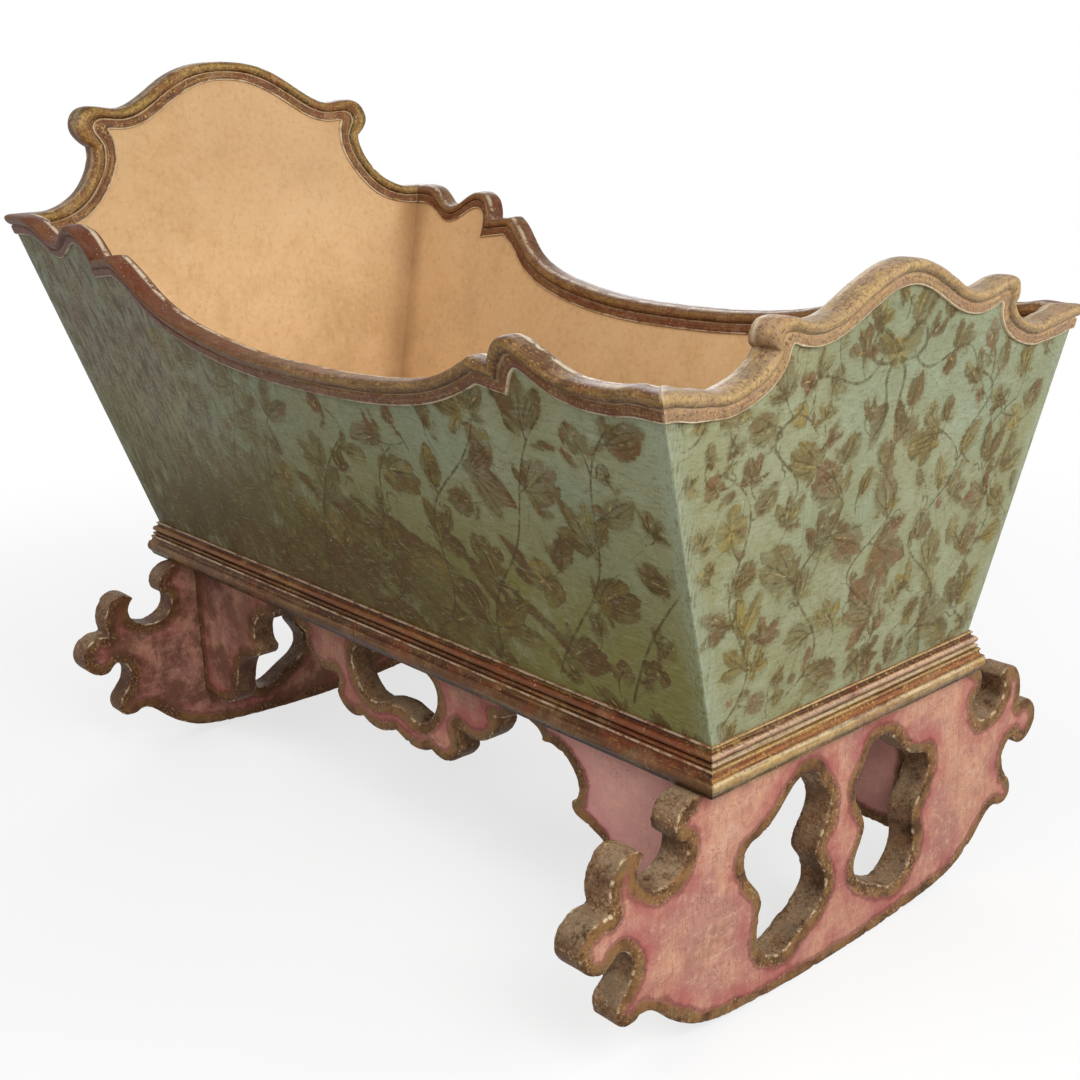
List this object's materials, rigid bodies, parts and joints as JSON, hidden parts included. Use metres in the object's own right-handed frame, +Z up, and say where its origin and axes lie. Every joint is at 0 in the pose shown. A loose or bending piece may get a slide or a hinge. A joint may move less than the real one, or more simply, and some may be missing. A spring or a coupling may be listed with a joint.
{
  "type": "rocking cradle",
  "caption": "Painted wooden rocking cradle with a flared tub, scrolled and moulded rims, a mitred base moulding, pierced aprons and scrolled rocker boards.",
  "frame": {"origin": "on the floor below the middle of the overall length and width", "axes": "+X from the head end to the foot end, +Y towards the back side, +Z up"},
  "size_m": [1.0486, 0.6486, 0.8139],
  "materials": {
    "green_paint": "worn grey-green paint with leaf and flower sprays",
    "gilt_moulding": "worn brown gilding",
    "pink_paint": "worn pink paint with olive borders",
    "bare_wood": "aged bare wood"
  },
  "bodies": {
    "root": {"head_board": "green_paint", "foot_board": "green_paint", "side_board_front": "green_paint", "side_board_back": "green_paint", "rim_head": "gilt_moulding", "rim_foot": "gilt_moulding", "rim_front": "gilt_moulding", "rim_back": "gilt_moulding", "bead_front": "gilt_moulding", "bead_foot": "gilt_moulding", "bead_back": "gilt_moulding", "bead_head": "gilt_moulding", "plinth_front": "gilt_moulding", "plinth_foot": "gilt_moulding", "plinth_back": "gilt_moulding", "plinth_head": "gilt_moulding", "floor_plank_front": "bare_wood", "floor_plank_middle": "bare_wood", "floor_plank_back": "bare_wood", "floor_batten_head": "bare_wood", "floor_batten_foot": "bare_wood", "apron_front": "pink_paint", "apron_back": "pink_paint", "rocker_head": "pink_paint", "rocker_foot": "pink_paint", "rocker_dowels": "bare_wood", "tub_dowels": "bare_wood", "corner_pegs": "bare_wood"}
  },
  "joints": []
}
